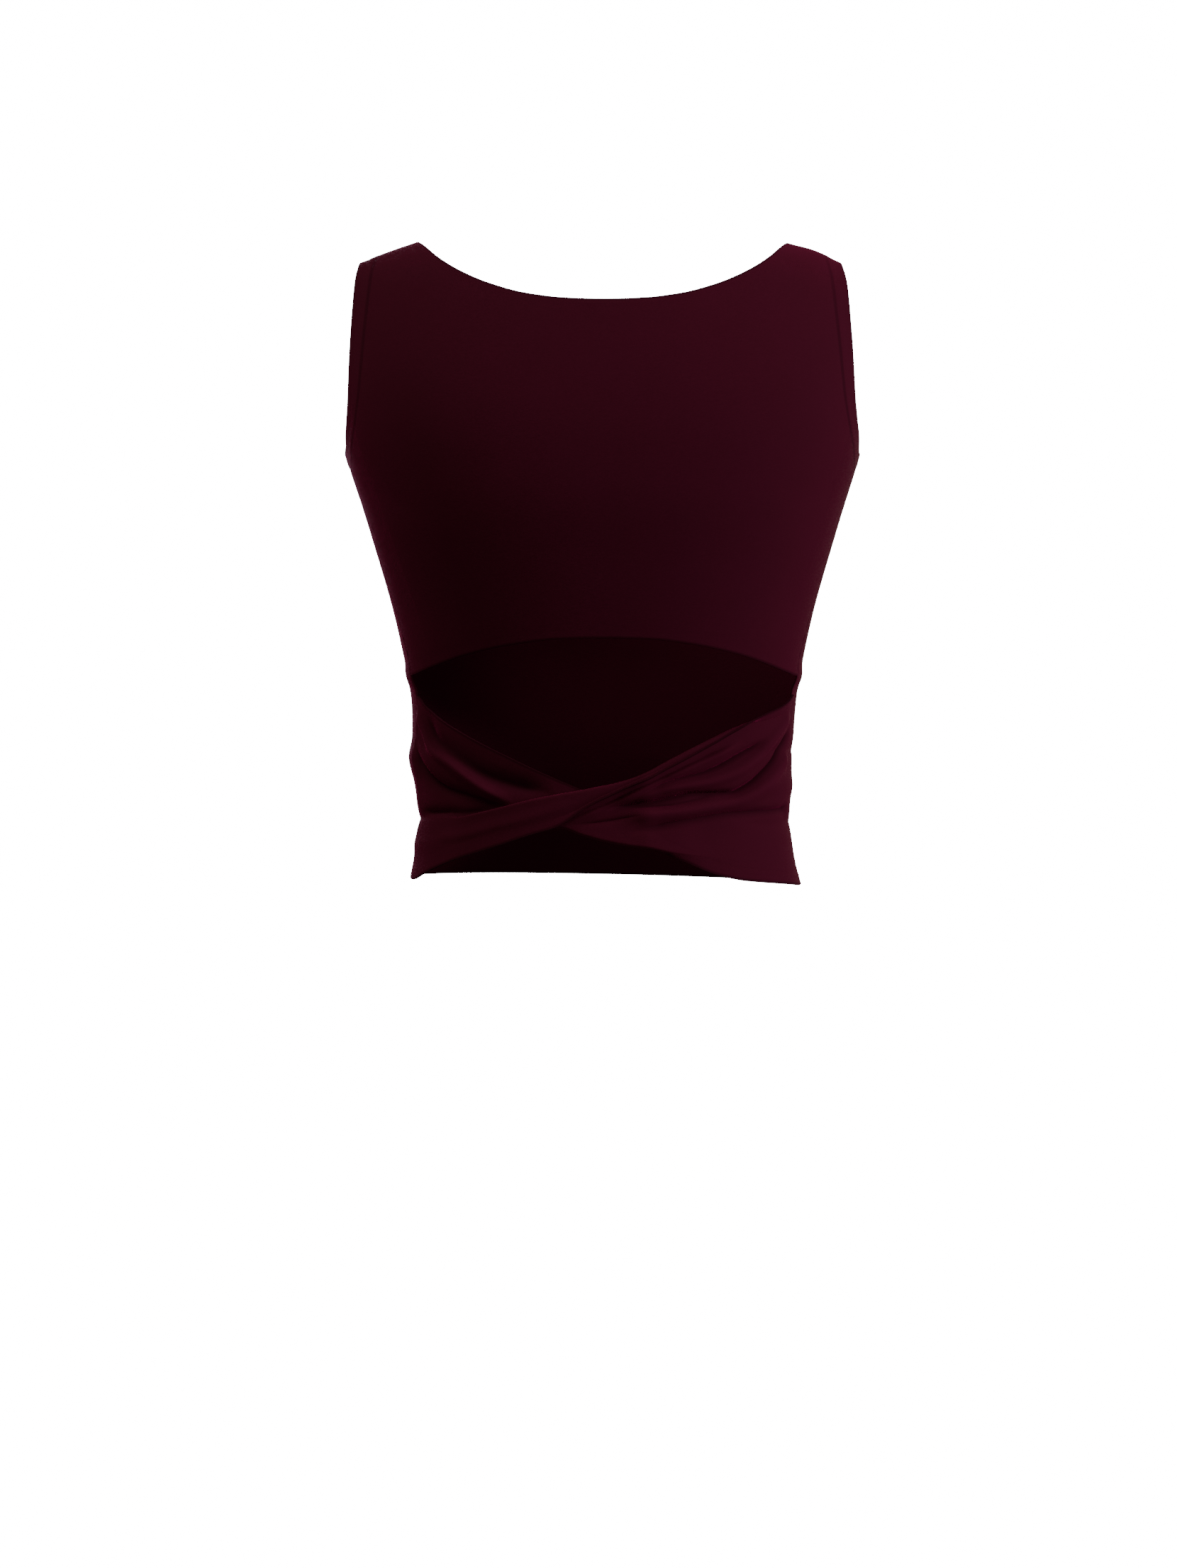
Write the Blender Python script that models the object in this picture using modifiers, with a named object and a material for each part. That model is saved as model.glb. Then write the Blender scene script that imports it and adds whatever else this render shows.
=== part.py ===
"""Sleeveless crop top with an open back: a front panel, an upper back panel with a scooped neck and an arched lower
edge, and a lower back band with one half turn in it. Worn form: -Y is the back, +Y the front, +Z up. The origin is
the middle of the two shoulder straps. Heights and widths in the tables are in millimetres, angles in degrees."""

from collections import namedtuple
import math

import bmesh
import bpy
import numpy as np

MM = 0.001
WALL = 1.2 * MM  # cloth, two layers of jersey
SEAM = 0.3 * MM  # between the panels where they are sewn
BAND_EASE = 0.2 * MM  # more at the ends of the band, which are cut to other heights than the front
SHOULDER_EASE = 0.26 * MM  # more of a gap over the shoulder, where the cloth turns
COLOUR = (0.040, 0.0016, 0.0060, 1.0)
ROUGHNESS = 0.82

# The form the cloth takes, ring by ring from the shoulder line down to the hem.
Ring = namedtuple("Ring", "level half_width back front shift tilt back_power front_power")
RINGS = (
    Ring(0, 172, 0, 0, -1.5, 0.33, 2.2, 2.2),
    Ring(-3, 172, 22, 19, -1.5, 0.33, 2.2, 2.2),
    Ring(-12, 172, 41, 35, -1.4, 0.31, 2.2, 2.2),
    Ring(-26, 171, 57, 48, -1.2, 0.27, 2.25, 2.2),
    Ring(-45, 170, 70, 60, -1.2, 0.20, 2.3, 2.2),
    Ring(-70, 168, 82, 74, -1.1, 0.12, 2.4, 2.2),
    Ring(-98, 164.6, 91, 90, -1.0, 0.05, 2.5, 2.2),
    Ring(-128, 158.6, 96, 104, -0.1, 0.01, 2.5, 2.2),
    Ring(-158, 148.7, 96, 111, 0.2, 0, 2.45, 2.2),
    Ring(-188, 140, 91, 108, 0.3, 0, 2.4, 2.2),
    Ring(-220, 130.4, 84, 99, 0.4, 0, 2.3, 2.2),
    Ring(-250, 124, 77, 91, 0.5, 0, 2.25, 2.15),
    Ring(-280, 118.5, 71, 85, 0.8, 0, 2.2, 2.15),
    Ring(-310, 118, 67, 82, -0.3, 0, 2.2, 2.1),
    Ring(-345, 115, 66, 83, 0.6, 0, 2.2, 2.1),
    Ring(-370, 117, 69, 86, 0.8, 0, 2.2, 2.1),
    Ring(-396, 122.5, 74, 90, 1.4, 0, 2.2, 2.1),
)
TILT_AT, TILT_ROUND = 133.4, 30.0  # half-width at which the shoulder slope is nil, and its rounding over the neck
CROWN, CROWN_AT, CROWN_WIDE = 4.2, 131.0, 12.0  # the slope is a little rounded across the strap

# The armhole edges, angles from the centre back and from the centre front, and the side seam below them, angles from
# the centre back.
Armhole = namedtuple("Armhole", "level back front")
ARMHOLE = (
    Armhole(0, 58, 58), Armhole(-20, 59.8, 56), Armhole(-45, 60.7, 55), Armhole(-70, 61.8, 58),
    Armhole(-92, 64, 66), Armhole(-108, 68.5, 76), Armhole(-119, 75, 86), Armhole(-125, 79.6, 91.6),
    Armhole(-126.6, 82, 94), Armhole(-127, 84, 96),
)
Side = namedtuple("Side", "level angle")
SIDE_SEAM = (
    Side(-127, 84), Side(-160, 82), Side(-200, 79), Side(-240, 75), Side(-275, 72.5), Side(-315, 74.5),
    Side(-355, 78), Side(-396, 80),
)

# Free edges seen from the back or the front, by the distance from the centre line.
Line = namedtuple("Line", "x z")
BACK_NECK = (
    Line(0, -45.2), Line(8, -45.1), Line(24, -44.2), Line(45, -40.9), Line(66, -34), Line(86, -23.4),
    Line(100, -12.2), Line(108, -3), Line(115, 4.8),
)
FRONT_NECK = (
    Line(0, -96), Line(8, -95.8), Line(25, -93), Line(47, -84), Line(68, -68), Line(86, -46), Line(101, -21),
    Line(115, 4.8),
)
ARCH = (
    Line(0, -244.6), Line(8, -244.62), Line(27, -245.1), Line(53, -247.9), Line(80, -253), Line(98, -258),
    Line(115, -263.5),
)
HEM = (Line(-120, -386.5), Line(0, -389), Line(120, -391.5))

# The twist. Heights of the band's two edges and of the two folds between them, along the band from the left side seam
# (-1) to the right one (1). Edge one starts on top at the left and ends at the bottom on the right.
Station = namedtuple("Station", "along edge_one fold_low fold_high edge_two")
TWIST = (
    Station(-1.00, -276, -284, -350, -387),
    Station(-0.96, -277.5, -290, -350, -388),
    Station(-0.90, -282.5, -304, -350, -387),
    Station(-0.84, -286, -320, -350, -384.5),
    Station(-0.74, -291.5, -339, -350, -380.5),
    Station(-0.62, -298, -351, -349.6, -376),
    Station(-0.50, -305, -357, -347, -371.5),
    Station(-0.37, -312.8, -358.5, -342.8, -366),
    Station(-0.25, -320.8, -356.5, -338.6, -360),
    Station(-0.15, -327.5, -355.8, -335.6, -355),
    Station(-0.06, -334, -360.5, -333, -344.8),
    Station(0.03, -347, -365.1, -329.4, -335.5),
    Station(0.09, -357, -367, -326.3, -330.6),
    Station(0.15, -365.5, -368.2, -322.1, -326.6),
    Station(0.21, -371.2, -369.7, -317, -321.4),
    Station(0.28, -376, -371.2, -311.6, -316),
    Station(0.39, -383, -373, -304.2, -307.8),
    Station(0.52, -387, -374.5, -296.8, -298.8),
    Station(0.62, -388.3, -375.3, -293, -292.3),
    Station(0.73, -389.3, -376, -291, -287),
    Station(0.88, -390.6, -377, -287.5, -281.4),
    Station(0.96, -391.2, -377.5, -285, -277.5),
    Station(1.00, -391.5, -378, -283, -275),
)
FOLD_ROUND = 1.0  # radius of a turn, so layers lie 2 mm apart
LEG_BACK, LEG_MIDDLE, LEG_FRONT = 7, 18, 6  # spans across each layer
TURN = 3  # spans round each turn
LEAST_BACK, LEAST_MIDDLE, LEAST_FRONT = 2.6, 4.2, 2.6  # shortest a layer gets while it turns over
FADE = 9.0

# The largest folds that run into the twist: a crease (height under nil) or a ridge, along a path of up to four points.
Fold = namedtuple("Fold", "name height width path")
FOLDS = (
    Fold("left ridge", 2.6, 6.0, ((-1.1, -275), (-0.9, -294.7), (-0.79, -306), (-0.56, -321), (-0.34, -340.4))),
    Fold("left crease", -2.2, 4.5, ((-1.02, -296), (-0.87, -315), (-0.78, -323.6), (-0.56, -334.6), (-0.36, -342))),
    Fold("left hollow", -1.6, 8.0, ((-0.84, -296), (-0.72, -304), (-0.54, -314), (-0.39, -324.5), (-0.2, -335))),
    Fold("right pleat", 1.7, 2.6, ((-0.14, -354), (0, -341.3), (0.08, -335.7), (0.21, -325), (0.5, -305))),
    Fold("right hollow", -1.8, 4.5, ((0.03, -340), (0.17, -331), (0.34, -320.3), (0.49, -315.2), (0.72, -308))),
    Fold("right ridge", 1.7, 5.5, ((0, -347), (0.2, -334.5), (0.4, -328), (0.6, -322), (0.86, -298))),
    Fold("right crease", -2.3, 4.0, ((0.03, -344), (0.34, -339.7), (0.58, -330), (0.79, -315), (0.95, -296))),
    Fold("low ridge", 1.4, 6.0, ((0.03, -352), (0.3, -346), (0.52, -341), (0.74, -333), (0.97, -308))),
    Fold("low crease", -1.3, 4.0, ((0.05, -359.5), (0.21, -353), (0.41, -348.2), (0.77, -345), (0.97, -342))),
)

# How each panel is cut and gridded: where its neck and armholes leave the straps, the spans between the straps, across
# each strap and outside it, and the rows of the strap, down to the armhole's curve, and below.
Cut = namedtuple("Cut", "facing neck low neck_level arm_level across strap side rows_strap rows_arm rows_low")
BACK = Cut(0, BACK_NECK, ARCH, -22, -84, 18, 4, 4, 6, 6, 15)
FRONT = Cut(180, FRONT_NECK, HEM, -52, -72, 18, 4, 6, 9, 3, 24)
BAND_STATIONS = 46


def smooth_through(xs, ys):
    """A curve through the points of a table that doesn't swing past them (monotone cubic)."""
    xs, ys = np.asarray(xs, float), np.asarray(ys, float)
    if xs[0] > xs[-1]:
        xs, ys = xs[::-1], ys[::-1]
    step, rise = np.diff(xs), np.diff(ys) / np.diff(xs)
    slope = np.zeros(len(xs))
    both = rise[:-1] * rise[1:] > 0
    one, two = 2 * step[1:] + step[:-1], step[1:] + 2 * step[:-1]
    inner = np.zeros(len(xs) - 2)
    inner[both] = (one + two)[both] / (one[both] / rise[:-1][both] + two[both] / rise[1:][both])
    slope[1:-1] = inner
    slope[0], slope[-1] = rise[0], rise[-1]

    def curve(x):
        x = np.clip(np.asarray(x, float), xs[0], xs[-1])
        i = np.clip(np.searchsorted(xs, x) - 1, 0, len(step) - 1)
        t = (x - xs[i]) / step[i]
        return (
            (2 * t**3 - 3 * t**2 + 1) * ys[i] + (t**3 - 2 * t**2 + t) * step[i] * slope[i]
            + (3 * t**2 - 2 * t**3) * ys[i + 1] + (t**3 - t**2) * step[i] * slope[i + 1]
        )

    return curve


def columns(table):
    return [np.array(c) for c in zip(*table)]


NUMBERS = np.arange(len(RINGS), dtype=float)
RING = {name: smooth_through(NUMBERS, c) for name, c in zip(Ring._fields, columns(RINGS))}
RING_OF_LEVEL = smooth_through(columns(RINGS)[0], NUMBERS)
ARM_LEVEL, ARM_BACK, ARM_FRONT = columns(ARMHOLE)
BACK_ARM, FRONT_ARM = smooth_through(ARM_LEVEL, ARM_BACK), smooth_through(ARM_LEVEL, ARM_FRONT)
SEAM_ANGLE = smooth_through(*columns(SIDE_SEAM))


def power(v, p):
    return np.sign(v) * np.abs(v) ** p


def form(angle, ring):
    """Points on the form, mm: angle from the centre back (180 is the centre front), ring counted down the table."""
    a = np.radians(angle)
    back = np.abs((angle + 180) % 360 - 180) <= 90
    p = 2 / np.where(back, RING["back_power"](ring), RING["front_power"](ring))
    x = RING["half_width"](ring) * power(np.sin(a), p)
    y = -np.where(back, RING["back"](ring), RING["front"](ring)) * power(np.cos(a), p)
    crown = CROWN * np.exp(-(((np.abs(x) - CROWN_AT) / CROWN_WIDE) ** 2))
    z = RING["level"](ring) + RING["tilt"](ring) * (TILT_AT - np.hypot(x, TILT_ROUND) + crown)
    return np.stack([x + RING["shift"](ring), y, z], -1)


def out_of(angle, ring):
    """The way out of the form."""
    d = 0.02
    last = NUMBERS[-1]
    round_it = form(angle + 0.5, ring) - form(angle - 0.5, ring)
    low, high = np.minimum(ring + d, last), np.maximum(np.minimum(ring, last) - d, 0.0)
    down = form(angle, low) - form(angle, high)
    n = np.cross(down, round_it)
    return n / np.linalg.norm(n, axis=-1, keepdims=True)


def meeting(low, high, above):
    """Where above(x) turns from true to false between low and high, for every number in them."""
    low, high = (np.array(v, float) for v in np.broadcast_arrays(low, high))
    for _ in range(40):
        middle = (low + high) / 2
        low, high = np.where(above(middle), middle, low), np.where(above(middle), high, middle)
    return (low + high) / 2


def spaced(*runs):
    """Numbers from run to run: (first, last, spans), ..."""
    parts = [np.linspace(a, b, n + 1)[:-1] for a, b, n in runs]
    return np.concatenate(parts + [[runs[-1][1]]])


def pull_in(grid, seams):
    """Moves the sewn sides of a grid of points inward by half the seam gap."""
    grid = grid.copy()
    for row, inner, more in seams:
        way = grid[inner] - grid[row]
        grid[row] += way / np.linalg.norm(way, axis=-1, keepdims=True) * (SEAM / 2 + more) / MM
    return grid


def panel(cut):
    """A grid of points over the form for a panel with two straps. The columns between the straps start at the neck,
    those outside them at the armhole, so the places above are left empty (nan)."""
    neck_at, low_at = smooth_through(*columns(cut.neck)), smooth_through(*columns(cut.low))
    signed = cut.low[0].x < 0
    neck_ring, arm_ring = (float(RING_OF_LEVEL(level)) for level in (cut.neck_level, cut.arm_level))
    under = float(RING_OF_LEVEL(SIDE_SEAM[0].level))
    armhole = BACK_ARM if cut.facing == 0 else FRONT_ARM

    def edge(ring):
        seam = SEAM_ANGLE(RING["level"](np.maximum(ring, under)))
        return seam if cut.facing == 0 else 180 - seam

    def place(angle, ring):
        return form(cut.facing + (angle if cut.facing == 0 else -angle), ring)

    def inside_neck(angle, ring):
        p = place(angle, ring)
        return p[..., 2] > neck_at(np.abs(p[..., 0]))

    def neck_angle(ring, side):
        return meeting(0 * ring, 90 + 0 * ring, lambda a: inside_neck(side * a, ring))

    left, right = (float(neck_angle(np.array([neck_ring]), side)[0] / edge(neck_ring)) for side in (-1, 1))
    outer = float(armhole(RING["level"](arm_ring)) / edge(arm_ring))
    c = spaced((-1, -outer, cut.side), (-outer, -left, cut.strap), (-left, right, cut.across),
               (right, outer, cut.strap), (outer, 1, cut.side))
    size, inner = np.abs(c), np.where(c < 0, left, right)
    on_neck, on_side = size < inner - 1e-6, size > outer + 1e-6

    top = np.full(len(c), neck_ring)
    top[on_neck] = meeting(0 * c[on_neck] + neck_ring - 0.5, 0 * c[on_neck] + 9,
                           lambda r: inside_neck(c[on_neck] * edge(r), r))
    top[on_side] = meeting(0 * c[on_side] + arm_ring - 0.2, 0 * c[on_side] + under + 0.01,
                           lambda r: size[on_side] * edge(r) > armhole(RING["level"](r)))

    def above_low(ring):
        p = place(c * edge(ring), ring)
        return p[:, 2] > low_at(p[:, 0] if signed else np.abs(p[:, 0]))

    low = meeting(top + 1, 0 * top + NUMBERS[-1], above_low)

    strap_low = float(low[np.argmin(np.abs(size - outer))])
    strap = spaced((0, neck_ring, cut.rows_strap), (neck_ring, arm_ring, cut.rows_arm),
                   (arm_ring, strap_low, cut.rows_low))
    first_neck, first_side = cut.rows_strap, cut.rows_strap + cut.rows_arm
    ring = np.repeat(strap[:, None], len(c), 1)
    share = (strap[first_side:] - arm_ring) / (strap_low - arm_ring)
    straps = ~on_neck & ~on_side
    ring[first_side:, straps] = arm_ring + share[:, None] * (low[straps] - arm_ring)
    ring[first_side:, on_side] = top[on_side] + share[:, None] * (low - top)[on_side]
    share = (strap[first_neck:] - neck_ring) / (strap_low - neck_ring)
    ring[first_neck:, on_neck] = top[on_neck] + share[:, None] * (low - top)[on_neck]

    angle = c * edge(ring)
    left_at = np.where(strap < neck_ring, neck_angle(strap, -1), left * edge(strap))[:, None]
    right_at = np.where(strap < neck_ring, neck_angle(strap, 1), right * edge(strap))[:, None]
    inner_at = np.where(c[straps] < 0, left_at, right_at)
    outer_at = np.where(strap < arm_ring, armhole(RING["level"](strap)), outer * edge(strap))[:, None]
    t = ((size - inner) / (outer - inner))[straps]
    high = slice(0, first_side)
    angle[high, straps] = (np.sign(c[straps]) * (inner_at + t * (outer_at - inner_at)))[high]
    way = cut.facing + (angle if cut.facing == 0 else -angle)
    grid = form(way, ring) - out_of(way, ring) * WALL / MM / 2
    grid[:first_neck, on_neck] = np.nan
    grid[:first_side, on_side] = np.nan
    one, other = slice(cut.side, cut.side + cut.strap + 1), slice(-cut.side - cut.strap - 1, -cut.side or None)
    sides = slice(first_side, None)
    return pull_in(grid, [((sides, 0), (sides, 1), 0.0), ((sides, -1), (sides, -2), 0.0),
                          ((0, one), (1, one), SHOULDER_EASE), ((0, other), (1, other), SHOULDER_EASE)])


def turning(along):
    """The path across the twisted band at each place along it: depth out of the form and height, mm."""
    place, *heights = columns(TWIST)
    one, low, high, two = (smooth_through(place, h)(along) for h in heights)
    r = FOLD_ROUND
    paths = []
    for edge, *drops in zip(one, one - low, low - high, high - two, low, high, two):
        sides = [least * math.exp(-((d / FADE) ** 2)) for d, least in
                 zip(drops, (LEAST_BACK, LEAST_MIDDLE, LEAST_FRONT))]
        lengths = [max(math.hypot(d, s), least) for d, s, least in
                   zip(drops, sides, (LEAST_BACK, LEAST_MIDDLE, LEAST_FRONT))]
        headings = [math.atan2(s, d) for d, s in zip(drops, sides)]
        low_at, high_at, end = np.cumsum(lengths)
        arc = [r * abs(headings[1] - headings[0]), r * abs(headings[1] - headings[2])]
        arc = [max(a, 0.6) for a in arc]
        t = np.linspace(0, end, 1601)
        heading = headings[0] + (headings[1] - headings[0]) * np.clip((t - low_at) / arc[0] + 0.5, 0, 1)
        heading += (headings[2] - headings[1]) * np.clip((t - high_at) / arc[1] + 0.5, 0, 1)
        step = t[1] - t[0]
        depth = np.concatenate([[0], np.cumsum((np.sin(heading)[1:] + np.sin(heading)[:-1]) / 2 * step)])
        fall = np.concatenate([[0], np.cumsum((np.cos(heading)[1:] + np.cos(heading)[:-1]) / 2 * step)])
        wall = WALL / MM / 2
        wanted = (edge, drops[3] + wall * abs(headings[1] - headings[0]) / math.pi,
                  drops[4] - wall * abs(headings[1] - headings[2]) / math.pi, drops[5])
        knots = (0, low_at, high_at, end)
        height = -fall + np.interp(t, knots, [w + np.interp(k, t, fall) for w, k in zip(wanted, knots)])
        stops = spaced(
            (0, low_at - arc[0] / 2, LEG_BACK), (low_at - arc[0] / 2, low_at + arc[0] / 2, TURN),
            (low_at + arc[0] / 2, high_at - arc[1] / 2, LEG_MIDDLE),
            (high_at - arc[1] / 2, high_at + arc[1] / 2, TURN), (high_at + arc[1] / 2, end, LEG_FRONT),
        )
        paths.append(np.stack([np.interp(stops, t, depth), np.interp(stops, t, height)], -1))
    return np.array(paths)


def fold_push(along, height, before_high):
    """How far the small folds push the cloth out at each point of the band."""
    push = np.zeros_like(height)
    for fold in FOLDS:
        us, zs = columns(fold.path)
        line = smooth_through(us, zs)(along)
        within = np.clip((along - us[0]) / 0.12, 0, 1) * np.clip((us[-1] - along) / 0.18, 0, 1)
        slope = (smooth_through(us, zs)(along + 0.02) - smooth_through(us, zs)(along - 0.02)) / (0.04 * 125)
        off = (height - line) / np.hypot(1, slope) / fold.width
        push += fold.height * np.exp(-off**2 * 1.6) * within * before_high
    return push


def band():
    """The grid of the twisted band, along it by across it."""
    along = np.linspace(-1, 1, BAND_STATIONS + 1)
    path = turning(along)
    depth, height = path[..., 0], path[..., 1]
    u = np.broadcast_to(along[:, None], height.shape)
    before = np.ones(height.shape[1])
    before[-LEG_FRONT - TURN // 2 - 1:] = 0
    fade = np.clip((1 - np.abs(u)) / 0.08, 0, 1)
    depth = depth + fold_push(u, height, before) * fade
    ring = RING_OF_LEVEL(height)
    angle = u * SEAM_ANGLE(height)
    return form(angle, ring) + out_of(angle, ring) * (depth - WALL / MM / 2)[..., None]


def cloth(name, grid, collection, material):
    """One panel of cloth: a grid of points as an open surface, thickened to the wall."""
    rows, across = grid.shape[:2]
    bm = bmesh.new()
    bmesh.ops.create_grid(bm, x_segments=across - 1, y_segments=rows - 1, size=0.5)
    bm.verts.ensure_lookup_table()
    for vertex in bm.verts:
        column = round((vertex.co.x + 0.5) * (across - 1))
        row = round((vertex.co.y + 0.5) * (rows - 1))
        vertex.co = grid[row, column] * MM
    empty = [v for v in bm.verts if math.isnan(v.co.x)]
    bmesh.ops.delete(bm, geom=empty, context="VERTS")
    mesh = bpy.data.meshes.new(name)
    bm.to_mesh(mesh)
    bm.free()
    mesh.materials.append(material)
    for face in mesh.polygons:
        face.use_smooth = True
    thing = bpy.data.objects.new(name, mesh)
    collection.objects.link(thing)
    wall = thing.modifiers.new("wall", "SOLIDIFY")
    wall.thickness, wall.offset = WALL, 0.0
    wall.use_even_offset = False
    return thing


for thing in list(bpy.data.objects):
    bpy.data.objects.remove(thing)

garment = bpy.data.collections.new("crop_top")
bpy.context.scene.collection.children.link(garment)

jersey = bpy.data.materials.new("burgundy_jersey")
jersey.use_nodes = True
shader = jersey.node_tree.nodes["Principled BSDF"]
shader.inputs["Base Color"].default_value = COLOUR
shader.inputs["Roughness"].default_value = ROUGHNESS
shader.inputs["Metallic"].default_value = 0.0

back, front = panel(BACK), panel(FRONT)
cloth("back_upper", back, garment, jersey)
cloth("front", front, garment, jersey)

twist = band()
cloth("back_twist", pull_in(twist, [(0, 1, BAND_EASE), (-1, -2, BAND_EASE)]), garment, jersey)
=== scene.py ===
# %% [markdown]
# # A sleeveless crop top with a twisted open back
# The real top is three pieces of stretch jersey: a front, an upper back with an arched lower edge, and a
# band below the opening that is given half a turn before it is sewn in. It is shown as it is worn, hollow
# inside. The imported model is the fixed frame. Each piece here takes the place of one of its plain solids,
# in a finer grid, with the small creases, the turned edges and the knit of the cloth.

# %% Load the frame
import math
from collections import namedtuple

import bmesh
import bpy
import numpy as np
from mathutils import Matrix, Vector
from mathutils.kdtree import KDTree


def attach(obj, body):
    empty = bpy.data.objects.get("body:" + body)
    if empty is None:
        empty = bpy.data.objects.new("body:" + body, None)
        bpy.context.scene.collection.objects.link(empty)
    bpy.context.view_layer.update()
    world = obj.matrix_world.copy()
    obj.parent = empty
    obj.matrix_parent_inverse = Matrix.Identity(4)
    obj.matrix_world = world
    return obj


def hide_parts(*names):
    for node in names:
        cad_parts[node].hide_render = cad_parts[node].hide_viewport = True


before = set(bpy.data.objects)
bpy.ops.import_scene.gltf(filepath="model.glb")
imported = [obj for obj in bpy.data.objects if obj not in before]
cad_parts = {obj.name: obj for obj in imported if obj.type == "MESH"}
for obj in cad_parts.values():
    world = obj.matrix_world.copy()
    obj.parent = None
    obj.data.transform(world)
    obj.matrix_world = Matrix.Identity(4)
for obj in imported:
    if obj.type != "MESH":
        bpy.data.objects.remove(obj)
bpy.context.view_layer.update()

MM = 0.001

# %% [markdown]
# ## The camera
# The photograph was taken level, at the height of the waist, about 1.4 m behind it. A level camera keeps
# upright lines upright. The frame is 1660 by 2212 pixels, and a focal length of 3100 of them gives the
# garment its width in it. Blender wants the lens on its own 36 mm sensor, so that is worked out here.

# %% Camera
CAMERA_AT = (-0.0088, -1.364, -0.3296)
IMAGE_HEIGHT = 2212
FOCAL = 3100
SENSOR = 36.0

camera = bpy.data.objects.new("camera", bpy.data.cameras.new("camera"))
bpy.context.scene.collection.objects.link(camera)
camera.location = CAMERA_AT
camera.rotation_euler = (math.pi / 2, 0, 0)
camera.data.sensor_width = SENSOR
camera.data.lens = SENSOR * FOCAL / IMAGE_HEIGHT
bpy.context.scene.camera = camera
print(f"lens {camera.data.lens:.2f} mm")

# %% [markdown]
# ## The studio
# A product shot has no horizon: the floor curves up into the wall. Here the floor is a wide round dish,
# so that it is seamless from every side. One line of points, spun a full turn, makes it.

# %% Floor
FLOOR_AT = -1.05
DISH = 4.5
CURVE = 1.6
WALL_TOP = 3.2
CURVE_STEPS, ROUND_STEPS = 16, 96


def dish():
    bm = bmesh.new()
    start = bm.verts.new((DISH - CURVE, 0, FLOOR_AT))
    bmesh.ops.spin(bm, geom=[start], cent=(DISH - CURVE, 0, FLOOR_AT + CURVE), axis=(0, -1, 0),
                   angle=math.pi / 2, steps=CURVE_STEPS)
    bm.verts.ensure_lookup_table()
    high = max(bm.verts, key=lambda v: v.co.z)
    for end, by in ((high, (0, 0, WALL_TOP - CURVE)), (start, (CURVE - DISH, 0, 0))):
        new = bmesh.ops.extrude_vert_indiv(bm, verts=[end])["verts"]
        bmesh.ops.translate(bm, verts=new, vec=by)
    bmesh.ops.spin(bm, geom=bm.verts[:] + bm.edges[:], cent=(0, 0, 0), axis=(0, 0, 1),
                   angle=2 * math.pi, steps=ROUND_STEPS, use_merge=True)
    bmesh.ops.remove_doubles(bm, verts=bm.verts[:], dist=0.0005)
    bmesh.ops.recalc_face_normals(bm, faces=bm.faces[:])
    mesh = bpy.data.meshes.new("floor")
    bm.to_mesh(mesh)
    bm.free()
    mesh.shade_smooth()
    thing = bpy.data.objects.new("floor", mesh)
    bpy.context.scene.collection.objects.link(thing)
    return thing


floor = dish()
for rays in ("diffuse", "glossy", "transmission", "shadow"):
    setattr(floor, "visible_" + rays, False)
print("floor faces:", len(floor.data.polygons))

# %% [markdown]
# ## Shader maths
# A node tree is easier to read as a sum than as a chain of nodes. `Field` holds one socket, and the usual
# signs between fields and numbers add the Math nodes. Every other node comes from `Net.add`.

# %% A small language for shader nodes


class Field:
    """One socket of a node tree, for sums."""

    def __init__(self, net, socket):
        self.net = net
        self.socket = socket

    def __add__(self, other):
        return self.net.math("ADD", self, other)

    def __radd__(self, other):
        return self.net.math("ADD", other, self)

    def __sub__(self, other):
        return self.net.math("SUBTRACT", self, other)

    def __rsub__(self, other):
        return self.net.math("SUBTRACT", other, self)

    def __mul__(self, other):
        return self.net.math("MULTIPLY", self, other)

    def __rmul__(self, other):
        return self.net.math("MULTIPLY", other, self)

    def __truediv__(self, other):
        return self.net.math("DIVIDE", self, other)

    def __rtruediv__(self, other):
        return self.net.math("DIVIDE", other, self)

    def __abs__(self):
        return self.net.math("ABSOLUTE", self)


class Net:
    """The nodes of one material."""

    def __init__(self, name):
        self.material = bpy.data.materials.new(name)
        self.material.use_nodes = True
        self.tree = self.material.node_tree
        self.shader = self.tree.nodes["Principled BSDF"]

    def add(self, kind, settings=None, values=None, out=0):
        node = self.tree.nodes.new("ShaderNode" + kind)
        for name, value in (settings or {}).items():
            setattr(node, name, value)
        for socket, value in (values or {}).items():
            self.put(node.inputs[socket], value)
        return Field(self, node.outputs[out])

    def put(self, socket, value):
        if isinstance(value, Field):
            self.tree.links.new(value.socket, socket)
        else:
            socket.default_value = value

    def math(self, operation, *values):
        return self.add("Math", {"operation": operation}, dict(enumerate(values)))

    def blend(self, share, one, two):
        return self.add("Mix", {"data_type": "RGBA"}, {0: share, 6: one, 7: two}, 2)

    def set(self, **values):
        for name, value in values.items():
            self.put(self.shader.inputs[name.replace("_", " ")], value)


print("shader helpers ready")
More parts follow.
